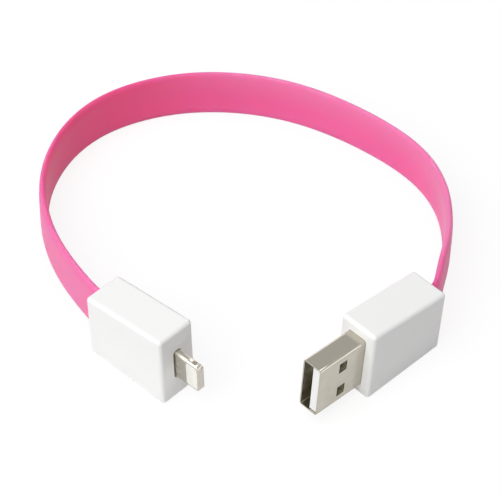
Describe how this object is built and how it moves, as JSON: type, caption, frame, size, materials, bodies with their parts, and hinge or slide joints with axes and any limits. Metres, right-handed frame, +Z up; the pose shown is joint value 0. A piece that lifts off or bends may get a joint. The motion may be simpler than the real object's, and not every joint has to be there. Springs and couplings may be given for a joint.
{
  "type": "charging cable",
  "caption": "Short flat charging cable bent into an open loop, with a USB-A plug and a small reversible phone plug in tapered white box housings.",
  "frame": {"origin": "on the table under the middle of the box round the two plugs, with both plugs standing on their narrow sides", "axes": "+Z up from the table, +X from the phone plug towards the USB plug, +Y from the connectors towards the back of the cable's loop"},
  "size_m": [0.0829, 0.0874, 0.0166],
  "materials": {
    "steel_shell": "nickel plated sheet steel, satin, with softly bright folded edges",
    "white_insulator": "plain white moulded plastic",
    "gold_contacts": "thin gold plating",
    "solder": "bright tin solder",
    "inner_mould": "soft natural white plastic",
    "white_housing": "glossy white moulding",
    "pink_jacket": "smooth satin soft plastic",
    "wire_red": "wire insulation",
    "wire_white": "wire insulation",
    "wire_green": "wire insulation",
    "wire_black": "wire insulation",
    "blade_metal": "satin stainless steel with polished edges",
    "circuit_board": "green solder resist",
    "chip_black": "black epoxy",
    "capacitor_ceramic": "brown ceramic"
  },
  "bodies": {
    "root": {"usb_shell": "steel_shell", "usb_insulator": "white_insulator", "usb_contact_power": "gold_contacts", "usb_contact_data_minus": "gold_contacts", "usb_contact_data_plus": "gold_contacts", "usb_contact_ground": "gold_contacts", "usb_solder_joints": "solder", "usb_inner_mould": "inner_mould", "usb_housing": "white_housing", "flat_cable": "pink_jacket", "wire_red": "wire_red", "wire_white": "wire_white", "wire_green": "wire_green", "wire_black": "wire_black", "phone_plug_frame": "blade_metal", "phone_contact_block": "white_insulator", "phone_contacts_front": "gold_contacts", "phone_contacts_back": "gold_contacts", "phone_circuit_board": "circuit_board", "phone_control_chip": "chip_black", "phone_capacitors": "capacitor_ceramic", "phone_solder_joints": "solder", "phone_inner_mould": "inner_mould", "phone_housing": "white_housing"}
  },
  "joints": []
}
